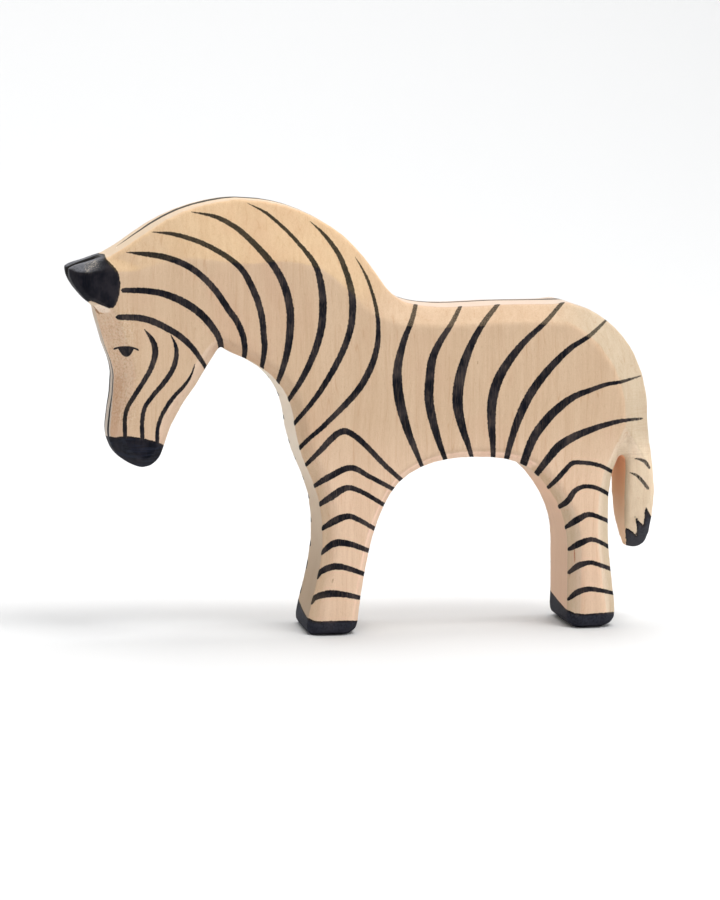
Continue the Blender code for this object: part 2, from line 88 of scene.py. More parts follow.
# Painted strokes on each side face: x, z and half width along the middle line
STROKES = {
    "cheek_3": ((-51.7, 78.9, 0.08), (-50.4, 75.9, 0.48), (-50.3, 73.0, 0.65), (-51.2, 70.0, 0.67),
                (-53.2, 66.9, 0.65), (-56.2, 63.4, 0.62), (-58.3, 60.5, 0.59), (-59.1, 57.0, 0.57),
                (-59.1, 52.2, 0.57)),
    "cheek_1": ((-64.9, 83.4, 0.72), (-60.1, 83.2, 0.84), (-56.7, 82.4, 0.88), (-52.9, 80.6, 0.84),
                (-49.1, 78.2, 0.81), (-46.1, 75.3, 0.72), (-43.8, 72.0, 0.59), (-42.4, 69.6, 0.47)),
    "cheek_2": ((-58.4, 80.3, 0.08), (-56.7, 78.0, 0.59), (-55.8, 76.0, 0.80), (-55.7, 73.7, 0.78),
                (-56.7, 70.4, 0.70), (-58.5, 67.2, 0.65), (-60.9, 63.5, 0.62), (-62.7, 60.6, 0.59),
                (-63.5, 57.6, 0.57), (-63.5, 52.6, 0.57)),
    "cheek_4": ((-45.5, 71.3, 0.08), (-46.6, 68.2, 0.34), (-48.5, 65.5, 0.47), (-50.9, 63.0, 0.54),
                (-53.0, 60.1, 0.54), (-54.5, 57.2, 0.52), (-55.2, 54.6, 0.52), (-55.3, 51.2, 0.52)),
    "neck_1": ((-63.5, 90.2, 0.66), (-58.0, 90.0, 0.78), (-53.1, 89.1, 0.88), (-48.3, 87.0, 0.99),
               (-44.0, 84.0, 0.98), (-40.8, 80.3, 0.90), (-39.2, 77.4, 0.83), (-38.7, 74.6, 0.72)),
    "neck_2": ((-63.1, 99.8, 0.06), (-57.9, 99.3, 0.65), (-53.1, 98.5, 0.78), (-48.2, 96.7, 0.83),
               (-44.0, 93.9, 0.83), (-40.1, 89.8, 0.83), (-36.8, 84.9, 0.85), (-34.6, 81.8, 0.83),
               (-33.1, 78.0, 0.80), (-32.7, 75.0, 0.72), (-33.0, 72.0, 0.59)),
    "neck_3": ((-56.5, 104.9, 0.06), (-51.4, 104.4, 0.49), (-46.5, 103.1, 0.62), (-41.7, 101.1, 0.66),
               (-36.8, 98.2, 0.72), (-33.4, 95.2, 0.80), (-31.2, 91.5, 0.88), (-29.3, 87.0, 0.88),
               (-28.2, 82.5, 0.85), (-27.8, 78.0, 0.83), (-27.6, 75.0, 0.78), (-28.4, 69.8, 0.57)),
    "neck_4": ((-46.2, 109.9, 0.06), (-40.0, 108.6, 0.52), (-35.1, 106.0, 0.68), (-32.6, 104.0, 0.74),
               (-28.9, 100.4, 0.82), (-25.1, 95.9, 0.92), (-22.5, 91.0, 1.00), (-21.2, 86.1, 1.03),
               (-20.9, 81.6, 1.03), (-21.4, 76.0, 0.96), (-22.5, 71.1, 0.83), (-24.3, 66.0, 0.59)),
    "neck_5": ((-32.0, 112.1, 0.06), (-27.0, 109.4, 0.40), (-22.1, 105.2, 0.46), (-17.9, 100.7, 0.54),
               (-14.5, 96.2, 0.74), (-13.0, 91.3, 0.92), (-12.5, 86.0, 1.02), (-13.0, 79.6, 1.00),
               (-14.9, 73.3, 0.90), (-18.0, 66.9, 0.78), (-21.6, 61.4, 0.57)),
    "neck_6": ((-15.8, 107.3, 0.06), (-11.9, 103.6, 0.48), (-8.4, 98.8, 0.64), (-6.5, 94.3, 0.74),
               (-5.2, 89.7, 0.88), (-4.8, 85.2, 0.96), (-5.4, 79.5, 0.90), (-7.7, 73.2, 0.85),
               (-11.5, 66.4, 0.78), (-15.4, 60.8, 0.67), (-20.2, 55.3, 0.54)),
    "neck_7": ((-4.2, 98.2, 0.06), (-1.6, 93.8, 0.34), (0.3, 88.9, 0.44), (1.5, 84.0, 0.52),
               (1.9, 79.4, 0.62), (1.5, 74.5, 0.78), (-0.1, 69.6, 0.88), (-2.7, 64.8, 0.90),
               (-6.2, 60.7, 0.83), (-10.4, 56.6, 0.70), (-13.4, 53.8, 0.65), (-16.2, 51.5, 0.59),
               (-19.0, 48.8, 0.54)),
    "body_1": ((11.9, 86.6, 0.56), (10.6, 81.6, 0.69), (8.6, 76.5, 0.85), (7.1, 70.4, 1.11),
               (6.9, 65.3, 1.29), (7.8, 59.5, 1.29), (9.7, 52.9, 1.03), (11.9, 47.4, 0.70),
               (13.9, 42.6, 0.47)),
    "body_2": ((23.6, 85.6, 0.50), (21.1, 80.7, 0.68), (18.1, 76.1, 0.88), (16.1, 71.7, 1.09),
               (15.4, 66.6, 1.21), (15.2, 61.2, 1.23), (16.2, 55.7, 1.11), (17.8, 50.2, 0.85),
               (19.9, 44.6, 0.57)),
    "body_3": ((33.8, 86.2, 0.54), (29.9, 81.3, 0.74), (27.0, 76.6, 0.90), (24.4, 70.5, 1.21),
               (23.0, 64.7, 1.42), (22.8, 59.2, 1.37), (24.1, 53.4, 1.03), (25.6, 49.0, 0.72),
               (26.8, 44.9, 0.49)),
    "body_4": ((50.6, 86.1, 0.50), (45.9, 80.8, 0.64), (40.7, 76.1, 0.83), (36.7, 71.4, 1.09),
               (33.4, 66.0, 1.29), (31.9, 60.5, 1.29), (31.7, 54.7, 1.09), (32.1, 49.2, 0.80),
               (32.2, 44.8, 0.57)),
    "body_5": ((62.6, 81.6, 0.30), (57.7, 77.1, 0.57), (52.3, 73.7, 0.78), (46.7, 68.3, 1.03),
               (42.3, 62.6, 1.16), (39.3, 56.8, 1.11), (37.1, 50.6, 0.90), (35.5, 44.4, 0.70)),
    "body_6": ((71.5, 66.4, 0.16), (66.2, 64.9, 0.47), (62.2, 64.3, 0.57), (57.8, 62.8, 0.70),
               (53.4, 61.1, 0.90), (48.7, 57.7, 1.16), (45.0, 53.7, 1.23), (42.4, 49.7, 1.16),
               (40.2, 43.8, 1.03)),
    "body_7": ((71.9, 55.2, 0.28), (66.0, 54.6, 0.57), (60.6, 53.3, 0.78), (54.3, 51.0, 1.03),
               (49.9, 48.5, 1.16), (46.9, 45.2, 1.03), (43.2, 40.5, 0.78)),
    "front_1": ((-18.2, 43.6, 0.40), (-13.6, 48.0, 0.72), (-9.8, 51.9, 0.85), (-7.1, 53.3, 0.85),
                (-4.2, 52.0, 0.78), (-0.4, 48.5, 0.72), (3.7, 44.2, 0.67), (8.1, 40.2, 0.59)),
    "front_2": ((-15.2, 39.0, 0.50), (-11.3, 41.3, 0.85), (-5.4, 43.8, 0.78), (-0.4, 41.4, 0.65),
                (6.2, 37.8, 0.57)),
    "front_3": ((-13.8, 34.2, 0.56), (-10.0, 36.6, 0.96), (-6.3, 38.6, 0.78), (-2.1, 37.3, 0.62),
                (4.0, 33.6, 0.54)),
    "front_4": ((-13.0, 28.0, 0.56), (-9.2, 30.2, 0.98), (-5.9, 31.2, 0.78), (-3.0, 30.1, 0.65),
                (1.6, 27.4, 0.57)),
    "front_5": ((-13.2, 21.6, 0.50), (-9.6, 24.2, 0.96), (-5.4, 23.9, 0.78), (-0.1, 21.9, 0.59)),
    "front_6": ((-14.1, 15.2, 0.38), (-13.0, 17.0, 0.78), (-9.4, 18.2, 0.88), (-5.4, 17.4, 0.70),
                (-1.2, 15.8, 0.57)),
    "front_7": ((-15.6, 8.7, 0.38), (-14.4, 10.3, 0.78), (-10.9, 11.1, 0.96), (-7.1, 10.8, 0.80),
                (-2.3, 9.7, 0.57)),
    "hind_1": ((45.9, 36.8, 0.44), (48.5, 39.0, 0.65), (50.9, 41.5, 0.70), (52.9, 43.6, 0.65),
               (54.7, 44.0, 0.59), (58.4, 43.6, 0.57), (61.5, 42.7, 0.54), (64.6, 41.0, 0.49)),
    "hind_2": ((49.1, 32.0, 0.52), (52.0, 33.8, 0.85), (54.0, 36.5, 0.70), (56.4, 37.6, 0.59),
               (59.8, 37.2, 0.57), (63.8, 35.0, 0.52)),
    "hind_3": ((51.5, 26.9, 0.52), (54.4, 28.7, 0.90), (57.5, 30.2, 0.72), (60.2, 29.6, 0.59),
               (63.8, 28.0, 0.52)),
    "hind_4": ((52.7, 21.2, 0.56), (55.2, 22.5, 0.90), (58.2, 23.6, 0.65), (60.6, 23.0, 0.57),
               (63.9, 21.2, 0.52)),
    "hind_5": ((52.7, 15.1, 0.56), (55.2, 16.8, 0.85), (58.3, 17.5, 0.62), (61.4, 16.6, 0.59),
               (64.5, 15.4, 0.54)),
    "hind_6": ((52.6, 8.0, 0.50), (54.9, 9.7, 0.83), (58.0, 10.5, 0.70), (61.4, 10.0, 0.57),
               (65.2, 9.1, 0.52)),
    "tail_1": ((70.9, 44.3, 0.14), (72.8, 43.9, 0.40), (74.1, 43.1, 0.47), (75.2, 41.6, 0.38)),
    "tail_2": ((69.9, 40.5, 0.14), (71.7, 39.7, 0.38), (73.2, 38.3, 0.46), (74.9, 36.2, 0.40)),
}

# Solid painted areas, as closed outlines that run past the wood they cover
PATCHES = {
    "ears": ((-68.7, 100.6), (-67.9, 98.2), (-67.1, 97.4), (-65.6, 95.9), (-64.7, 94.3), (-64.3, 91.9),
             (-64.6, 89.1), (-65.4, 86.8), (-66.1, 85.8), (-67.3, 85.6), (-69.5, 86.6), (-71.9, 87.6),
             (-79.0, 84.0), (-80.0, 100.6)),
    "muzzle": ((-70.0, 53.4), (-67.2, 53.1), (-66.1, 52.8), (-64.7, 53.0), (-62.7, 53.1), (-60.8, 52.8),
               (-58.7, 52.4), (-56.8, 51.9), (-54.9, 51.3), (-53.4, 50.5), (-50.0, 49.0), (-50.0, 42.0),
               (-70.0, 42.0)),
    "front_hoof": ((-19.0, 5.4), (-16.1, 4.8), (-14.9, 4.2), (-13.5, 4.0), (-10.7, 4.0), (-7.0, 4.0),
                   (-3.3, 3.9), (1.0, 3.7), (1.0, -4.0), (-19.0, -4.0)),
    "hind_hoof": ((50.0, 6.0), (52.9, 4.9), (54.2, 4.3), (56.7, 3.9), (60.9, 4.1), (65.1, 4.3),
                  (69.0, 4.6), (69.0, -4.0), (50.0, -4.0)),
    "tuft": ((67.0, 25.4), (69.5, 25.4), (70.5, 25.2), (71.8, 24.2), (72.9, 23.1), (72.5, 25.8),
             (71.4, 29.2), (73.0, 27.4), (74.3, 25.9), (74.3, 28.8), (74.2, 31.9), (75.3, 30.0),
             (76.4, 28.4), (80.0, 26.6), (80.0, 18.0), (67.0, 18.0)),
}

# The eye on each side: the middle of the lash line, its reach and drop to the ends
EYE_X = -62.85
EYE_Z = 75.75
LASH_REACH = 3.1
LASH_DROP = 0.85
LASH_HALF_WIDTH = 0.28
LASH_TAPER = 1.2 * LASH_REACH    # how fast the line widens from its ends
IRIS_X = -62.95
IRIS_REACH = 1.95
IRIS_DROP = 2.60
IRIS_SOFTNESS = 0.6
EYE_WAVER = 0.35         # share of the strokes' waver that its edges have

# Two lines down the front of the nose, thin at the top: y and half width
NOSE_LINES = ((-4.5, 0.85), (3.5, 2.70))
NOSE_LINE_TOP = 85.0
NOSE_LINE_TAPER = 17.0
NOSE_LINE_START = -0.3   # the half width's factor at the top
NOSE_FRONT = (0.35, 0.55)
NOSE_BEHIND = -56.0
NOSE_WAVER = 0.5

# The brown rub down the side of the nose ends at this x, given at a height and its lean
RUB_X = -63.4
RUB_Z = 66.0
RUB_LEAN = 0.154

# Marks, small cuts and a painted shadow in a stop cut on the left side: a long oval, its share and its
# shade.
# The oval has its middle x and z, half length, half width and turn.
MARKS = {
    "knot": ((-5.5, 60.8, 1.5, 0.40, 0.15), 0.75, (0.780, 0.600, 0.400)),
    "brow_cut": ((-68.7, 85.4, 2.0, 1.1, -0.30), 0.65, (0.960, 0.830, 0.700)),
    "hair_crack": ((54.45, 19.2, 1.9, 0.16, 1.60), 0.85, (0.400, 0.130, 0.070)),
    # The dark brown line under the ear is painted shadow in the stop cut, with its end
    "stop_cut_shadow": ((-70.1, 84.9, 1.5, 0.26, -0.90), 0.95, (0.260, 0.120, 0.055)),
    "stop_cut_shadow_end": ((-68.9, 84.1, 0.6, 0.15, -0.10), 0.80, (0.450, 0.230, 0.100)),
    "foot_fleck": ((-10.0, 14.4, 0.7, 0.22, 1.3), 0.60, (0.300, 0.160, 0.080)),
    "flank_fleck": ((40.6, 58.5, 0.6, 0.20, 1.4), 0.60, (0.300, 0.160, 0.080)),
    "back_fleck": ((28.0, 70.5, 0.5, 0.15, 1.5), 0.60, (0.300, 0.160, 0.080)),
}
MARK_RIM = (1.3, 0.4)
MARK_LIMITS = (("y", -5.0, -6.5), ("broken", 0.32, 0.52, 0.35, 1.0))

# The dark line along the top of the neck and back: x and half width
CREST_LINE = ((-64.5, 0.10), (-62.0, 1.10), (-54.0, 2.60), (-42.0, 3.50), (-26.0, 3.30), (-6.0, 2.00),
              (30.0, 1.60), (50.0, 1.80), (58.0, 1.00), (62.0, 0.10))
CREST_LOWEST = 80.0
NO_CREST = -2.0          # the field where the line doesn't run

# The fibres' slow sway, in millimetres, and its pattern
SWAY = 5.0
SWAY_PATTERN = ((0.05, 0.05, 0.02), 2.0, 0.5)
# Patterns that run straight or follow the sway: factors on the place, detail and roughness
NOISES = {
    "fibres": ("swaying", (4.6, 4.6, 0.30), 3.0, 0.62),
    "streaks": ("swaying", (0.75, 0.75, 0.028), 3.0, 0.6),
    "rings": ("swaying", (0.16, 0.30, 0.010), 2.0, 0.5),
    "blotches": ("straight", (0.055, 0.055, 0.035), 3.0, 0.55),
    "pores": ("swaying", (7.5, 7.5, 0.85), 1.0, 0.5),
    "growth": ("swaying", (0.42, 0.30, 0.012), 1.0, 0.5),
    "speckle": ("straight", (1.7, 1.7, 1.7), 2.0, 0.6),
    "dust": ("straight", (3.4, 3.4, 3.4), 2.0, 0.7),
    "ripple": ("straight", (0.25, 0.25, 2.6), 2.0, 0.6),
    "broken": ("straight", (2.6, 2.6, 2.6), 2.0, 0.7),
    "ragged": ("straight", (1.3, 1.3, 1.3), 3.0, 0.65),
    "fine_ragged": ("swaying", (5.0, 5.0, 1.6), 2.0, 0.6),
    "watery": ("straight", (0.22, 0.22, 0.16), 3.0, 0.6),
    "level_streaks": ("straight", (0.16, 0.16, 1.5), 3.0, 0.6),
}
TONE_SHARES = {"fibres": 0.34, "streaks": 0.42, "rings": 0.30}
GROWTH_LINES = 9.0       # how many the growth pattern's whole range is cut into
WAVER = {"ragged": 0.34, "fine_ragged": 0.36}

# Soft steps that turn a field into a share
SAWN_EDGE = (0.0, 0.6)
FACET_TILT = (0.10, 0.24)
SOLID_EDGE = (0.2, 0.8)
PAINT_EDGE = (-0.07, 0.09)

# Parts of the figure as soft limits: field, where the step starts and where it is full
FACE = (("x", -52.0, -58.0), ("z", 48.0, 54.0), ("z", 88.0, 84.0))
NOSE = (("x", -58.5, -63.5), ("z", 54.0, 58.0), ("z", 88.0, 82.0))
JAW = (("x", -36.0, -42.0), ("z", 82.0, 74.0))
CHEST = (("x", -10.0, -15.0), ("x", -36.0, -30.0), ("z", 32.0, 52.0), ("z", 80.0, 68.0))
NECK = (("x", 10.0, -6.0), ("z", 84.0, 90.0))
BEVEL = (("across", 12.9, 12.5),)
NARROW_BEVEL = (("across", 12.8, 12.0),)
UNDERSIDE = (("turned_under", 0.08, 0.30), ("carved",))
FRONT_EDGE = (("sawn",), ("forward", 0.40, 0.70))
TAIL = (("x", 69.0, 70.5), ("z", 52.0, 44.0))
TAIL_ROOT = (("x", 60.0, 64.0), ("z", 40.0, 46.0))
SLOT = (("x", 64.4, 66.0), ("x", 71.4, 70.0), ("z", 16.0, 19.0), ("z", 46.5, 44.5), ("sawn",))
EAR = (("solid",), ("z", 87.0, 90.0), ("x", -62.0, -64.0))
EAR_RIDGE = (("across", 8.6, 9.6), ("across", 12.6, 11.6), ("x", -69.0, -70.5), ("x", -73.5, -72.5))
LOW_PAINT = (("solid",), ("z", 30.0, 26.0))

# The wood's colours, laid on in turn: kind, share, shade or factors, and limits
PALE_WOOD = (0.690, 0.505, 0.345, 1.0)
WOOD_FINISH = (
    # Grain
    ("stain", 0.62, (0.560, 0.375, 0.235), (("tone", 0.36, 0.72),)),
    ("stain", 0.42, (0.620, 0.395, 0.270), (("blotches", 0.48, 0.74),)),
    ("stain", 0.30, (0.420, 0.250, 0.130), (("pores", 0.64, 0.74),)),
    ("stain", 0.34, (0.480, 0.240, 0.130), (("growth", 0.10, 0.0), ("streaks", 0.35, 0.65))),
    ("stain", 0.16, (0.440, 0.290, 0.190), (("dust", 0.40, 0.66),)),
    # The square sawn edge is paler and greyer, partly its end grain and partly painted light; the chest's
    # edge is palest, with painted light of the floor's bounce
    ("stain", 0.55, (0.690, 0.590, 0.470), (("sawn",),)),
    ("stain", 0.75, (0.900, 0.810, 0.690), CHEST + (("sawn",),)),
    # Painted light: lighter and warmer on the neck's bevel that faces up; cooler on the rump, paler on the
    # tail; painted light on its root's down-turned facets; painted shade on level tops
    ("tint", 0.80, (1.07, 1.05, 0.93), NECK + (("facet",),)),
    ("tint", 1.0, (0.90, 1.00, 1.06), BEVEL + (("x", 44.0, 60.0),)),
    ("tint", 1.0, (1.30, 1.30, 1.32), TAIL),
    ("tint", 1.0, (0.80, 0.80, 0.86), (("upward", 0.60, 0.88),)),
    ("tint", 1.0, (1.24, 1.24, 1.28), TAIL_ROOT + BEVEL + (("upward", -0.10, -0.28),)),
    # Painted light, paler and cooler, under the belly and on the lower sides
    ("tint", 1.0, (1.30, 1.32, 1.48), UNDERSIDE + NARROW_BEVEL + (("x", -8.0, 0.0), ("x", 62.0, 50.0))),
    ("tint", 1.0, (1.20, 1.20, 1.27), (("z", 58.0, 34.0), ("across", 11.0, 12.6))),
    # The hind leg's front edge is rosier, and the front leg's has painted shade, darker towards the foot
    ("tint", 1.0, (1.20, 1.00, 0.94), FRONT_EDGE + (("x", 38.0, 42.0), ("z", 46.0, 36.0))),
    ("tint", 1.0, (0.72, 0.68, 0.64), FRONT_EDGE + (("x", 10.0, 0.0), ("z", 36.0, 8.0))),
)
# In the tail's slot a painted reflection of warm light bounced between hind leg and tail, paler towards the
# foot
SLOT_BOUNCE_LIGHT = (1.000, 0.600, 0.370, 1.0)
SLOT_BOUNCE_LIGHT_BELOW = (1.000, 0.730, 0.550, 1.0)
SLOT_SHARE = 0.98
SLOT_FOOT = (("z", 38.0, 26.0),)
TAIL_AND_HEAD_FINISH = (
    # Saw ripples across the root of the tail
    ("stain", 0.20, (0.480, 0.320, 0.210),
     (("ripple", 0.45, 0.62), ("x", 64.0, 69.0), ("z", 40.0, 46.0), ("z", 66.0, 58.0))),
    # The head: painted light on the nose's bevels, which turn away from the lamps, and under the jaw; then
    # the grey strip down the front
    ("tint", 1.0, (1.12, 1.09, 1.12), FACE + (("forward", 0.22, 0.45), ("carved",))),
    ("tint", 1.0, (1.13, 1.18, 1.30), JAW + UNDERSIDE),
    ("stain", 0.70, (0.575, 0.515, 0.465), FACE + (("x", -56.0, -60.0), ("z", 87.0, 78.0), ("sawn",))),
    # Small brown and pale flecks on the nose, which is rubbed darker near the muzzle
    ("stain", 0.50, (0.460, 0.280, 0.160), NOSE + (("speckle", 0.55, 0.64),)),
    ("stain", 0.40, (0.740, 0.640, 0.480), NOSE + (("speckle", 0.46, 0.38),)),
    ("stain", 0.50, (0.540, 0.300, 0.170),
     (("behind_rub", 0.5, -0.4), ("z", 70.0, 65.0), ("z", 48.0, 54.0), ("carved",),
      ("speckle", 0.30, 0.60, 0.45, 1.0))),
)
# Rounded edges are sanded smooth, a little rosier and cleaner
EDGE_FINISH = (("stain", 0.30, (0.690, 0.485, 0.355), (("bend", 0.020, 0.085),)),)

# How far the paint is worn through: where watery, along fibres, on upper bevels and on the tail; on upper
# bevels this is partly thinner paint and partly a painted sheen
WORN_PAINT = (
    (("watery", 0.42, 0.74, 0.0, 0.05),),
    (("fibres", 0.46, 0.72, 0.0, 0.07),),
    (("facet",), ("dust", 0.35, 0.65, 0.03, 0.13), ("x", 0.0, 12.0, 0.40, 1.60)),
    (("x", 69.0, 69.6), ("z", 30.0, 34.0), ("fibres", 0.42, 0.66, 0.02, 0.30)),
)
SOLID_KEEPS = 0.85       # share of that wear which the solid areas are spared

# The paint's colours, laid on in turn as for the wood
BLACK_PAINT = (0.006, 0.007, 0.011, 1.0)
PAINT_FINISH = (
    # A little lighter where it is watery, and browner on the bevels that face up, partly thinner paint and
    # partly a painted sheen
    ("stain", 1.0, (0.019, 0.018, 0.024), (("watery", 0.35, 0.65),)),
    ("stain", 1.0, (0.016, 0.016, 0.012), (("facet",), ("drawn",))),
    # Grey painted sheen on the ear tops that face up, black painted shade in their groove, and the ridge
    # worn to specks
    ("stain", 1.0, (0.125, 0.127, 0.140),
     EAR + (("upward", 0.30, 0.75), ("bend", -0.030, 0.0), ("speckle", 0.30, 0.60, 0.55, 1.0),
            ("x", -72.0, -66.0, 1.0, 0.34))),
    ("stain", 1.0, (0.004, 0.004, 0.005), (("across", 5.0, 4.5), ("x", -68.0, -68.8))),
    ("stain", 0.80, (0.620, 0.540, 0.430), EAR + EAR_RIDGE + (("dust", 0.55, 0.60), ("upward", 0.20, 0.45))),
    # Greyer on the hooves and tuft, and level streaks on the muzzle
    ("stain", 1.0, (0.030, 0.032, 0.044), LOW_PAINT + (("speckle", 0.35, 0.60, 0.4, 1.0),)),
    ("stain", 1.0, (0.055, 0.055, 0.064),
     LOW_PAINT + (("x", 69.0, 70.0), ("z", 15.0, 17.0), ("dust", 0.35, 0.60, 0.3, 1.0))),
    ("stain", 1.0, (0.017, 0.020, 0.033),
     (("solid",), ("x", -50.0, -52.0), ("z", 58.0, 55.0), ("level_streaks", 0.40, 0.66))),
)

# Roughness as soft steps of a pattern
WOOD_ROUGHNESS = (("fibres", 0.3, 0.7, 0.56, 0.68),)
PAINT_ROUGHNESS = (("watery", 0.3, 0.7, 0.46, 0.56),)
GLOSS = 0.02

# Fine relief in millimetres: height and limits
PAINT_HEIGHT = 0.008
RELIEF = (
    (0.030, (("fibres",),)),
    (0.030, (("streaks",),)),
    (-0.020, (("pores", 0.64, 0.74),)),
    (0.050, NOSE + (("speckle",),)),
)

# The studio, in metres
FLOOR_FRONT = -3.0
FLOOR_SIDE = 4.0
SWEEP_START = 1.1
SWEEP_RADIUS = 0.9
SWEEP_STEPS = 24
WALL_TOP = 3.0
CARD_GREY = (0.62, 0.62, 0.62, 1.0)
CARD_ROUGHNESS = 0.9
WORLD_COLOUR = (0.97, 0.985, 1.0, 1.0)
WORLD_STRENGTH = 0.60
# Lamps: name, place, size, power and what they face
LAMPS = (
    ("key", (0.30, -0.42, 1.25), 0.5, 11.2, VIEW_TARGET),
    ("side", (1.25, -0.15, 0.55), 1.0, 4.6, VIEW_TARGET),
    ("back", (0.1, 0.9, 1.2), 1.0, 5.6, VIEW_TARGET),
    ("backdrop", (0.0, 0.6, 2.2), 1.6, 37.5, Vector((0.0, 2.0, 0.7))),
)


def smooth_curve(rows):
    """Rows along a smooth curve through the given rows; all columns are carried."""
    points = np.array(rows, dtype=float)
    padded = np.vstack([2 * points[0] - points[1], points, 2 * points[-1] - points[-2]])
    curve = [points[0]]
    for i in range(1, len(padded) - 2):
        p0, p1, p2, p3 = padded[i - 1:i + 3]
        for share in np.linspace(0.0, 1.0, CURVE_STEPS + 1)[1:]:
            s2 = share * share
            s3 = s2 * share
            row = 0.5 * (2 * p1 + (p2 - p0) * share + (2 * p0 - 5 * p1 + 4 * p2 - p3) * s2
                         + (3 * p1 - p0 - 3 * p2 + p3) * s3)
            curve.append(row)
    return np.array(curve)


def measure_stroke(points, curve):
    """Signed distance from a stroke's middle line, and the stroke's half width there."""
    nearest = np.full(len(points), FAR_OFF)
    signed = np.full(len(points), FAR_OFF)
    half = np.full(len(points), -OUTSIDE)
    last = len(curve) - 2
    for number in range(last + 1):
        start = curve[number]
        end = curve[number + 1]
        step = end[:2] - start[:2]
        length = np.hypot(*step)
        along = (points - start[:2]) @ step / length
        inside = np.clip(along, 0.0, length)
        across = (step[0] * (points[:, 1] - start[1]) - step[1] * (points[:, 0] - start[0])) / length
        over = np.abs(along - inside)
        distance = np.hypot(across, over)
        width = start[2] + (end[2] - start[2]) * inside / length
        past_end = ((number == 0) & (along < 0.0)) | ((number == last) & (along > length))
        rounded = np.where(over < width, np.sqrt(np.maximum(width ** 2 - over ** 2, 0.0)), width - over)
        closer = distance < nearest
        nearest = np.where(closer, distance, nearest)
        turned = np.where(past_end, across, np.sign(across) * distance)
        signed = np.where(closer, turned, signed)
        half = np.where(closer, np.where(past_end, rounded, width), half)
    return signed, half


def measure_patch(points, outline):
    """Signed distance to a closed outline, positive inside it."""
    corners = np.array(outline)
    nearest = np.full(len(points), FAR_OFF)
    crossings = np.zeros(len(points), dtype=int)
    for start, end in zip(corners, np.roll(corners, -1, axis=0)):
        step = end - start
        share = np.clip((points - start) @ step / (step @ step), 0.0, 1.0)
        gap = points - start - share[:, None] * step
        nearest = np.minimum(nearest, np.hypot(gap[:, 0], gap[:, 1]))
        straddles = (start[1] > points[:, 1]) != (end[1] > points[:, 1])
        if step[1] != 0.0:
            crossing_x = start[0] + (points[:, 1] - start[1]) * step[0] / step[1]
            crossings += straddles & (points[:, 0] < crossing_x)
    return np.where(crossings % 2 == 1, nearest, -nearest)


def edge_half_width(points):
    """Half width of the square edge near each point, so that stripes end just past it."""
    x, z = points.T
    rump = np.clip((x - RUMP_START) / (RUMP_END - RUMP_START), 0.0, 1.0)
    width = BODY_EDGE + (RUMP_EDGE - BODY_EDGE) * rump
    stations = np.array(CREST_EDGE)
    crest = np.interp(x, stations[:, 0], stations[:, 1])
    width = np.where((z > CREST_EDGE_LOWEST) & (x < stations[-1, 0]), crest, width)
    face = (x < FACE_BACK) & (z < FACE_HIGHEST) & (z > FACE_LOWEST)
    width = np.where(face, FACE_EDGE, width)
    heights = np.array(TAIL_EDGE)
    tail = np.interp(z, heights[:, 0], heights[:, 1])
    return np.where((x > TAIL_IN_FRONT) & (z < TAIL_TOP), tail, width)


def on_board_face(place):
    """Where the line of sight through each point meets the flat face; both sides alike."""
    eye_x, eye_y, eye_z = VIEW_FROM / MM
    deepest = np.where(place[:, 0] < FACE_BACK, FACE_DEEPEST, DEEPEST)
    deepest = np.where((place[:, 0] > TAIL_IN_FRONT) & (place[:, 2] < TAIL_TOP), 0.0, deepest)
    depth = np.clip(BOARD_HALF - np.abs(place[:, 1]), 0.0, deepest)
    share = depth / (-eye_y - BOARD_HALF + depth)
    return np.column_stack([place[:, 0] + share * (eye_x - place[:, 0]),
                            place[:, 2] + share * (eye_z - place[:, 2])])


def paint_fields(place):
    """Stroke, patch and crest fields for every vertex of the fine mesh."""
    flat = on_board_face(place)
    fields = {}
    sawn = edge_half_width(place[:, [0, 2]]) - np.abs(place[:, 1])
    right_chest = (place[:, 1] > 0.0) & (place[:, 0] < FAR_CHEST_BACK) & (place[:, 2] < FAR_CHEST_TOP)
    short = np.where(right_chest, (sawn - FAR_WRAP) * FAR_TAPER, sawn - WRAP)
    for layer in range(LAYERS):
        offset = np.full(len(flat), IDLE_OFFSET)
        half = np.full(len(flat), IDLE_HALF_WIDTH)
        for rows in list(STROKES.values())[layer::LAYERS]:
            curve = smooth_curve(rows)
            low = curve[:, :2].min(axis=0) - MARGIN
            high = curve[:, :2].max(axis=0) + MARGIN
            near = np.flatnonzero(np.all((flat > low) & (flat < high), axis=1))
            signed, width = measure_stroke(flat[near], curve)
            close = width - np.abs(signed) > -REACH
            offset[near[close]] = signed[close]
            half[near[close]] = width[close]
        fields["offset_%d" % layer] = offset
        fields["half_%d" % layer] = half - np.maximum(short, 0.0) * NARROWING

    patch = np.full(len(flat), -FAR_OFF)
    across = np.clip((place[:, 1] + BODY_EDGE) / (2.0 * BODY_EDGE), 0.0, 1.0)
    lowered = flat - np.column_stack([np.zeros(len(flat)), HOOF_RISE * across])
    slot_face = (place[:, 0] < SLOT_FACE_END) & (sawn > 0.0)
    for name, outline in PATCHES.items():
        depth = measure_patch(lowered if "hoof" in name else flat, outline)
        if name == "tuft":
            depth = np.where(slot_face, np.minimum(depth, -SLOT_BARE * sawn), depth)
        patch = np.maximum(patch, depth)

    stations = np.array(CREST_LINE)
    crest = np.interp(place[:, 0], stations[:, 0], stations[:, 1], left=NO_CREST, right=NO_CREST)
    fields["patch"] = np.clip(patch, -MARGIN, MARGIN)
    fields["crest"] = np.where(place[:, 2] > CREST_LOWEST, crest, NO_CREST)
    fields["sawn"] = sawn
    return fields


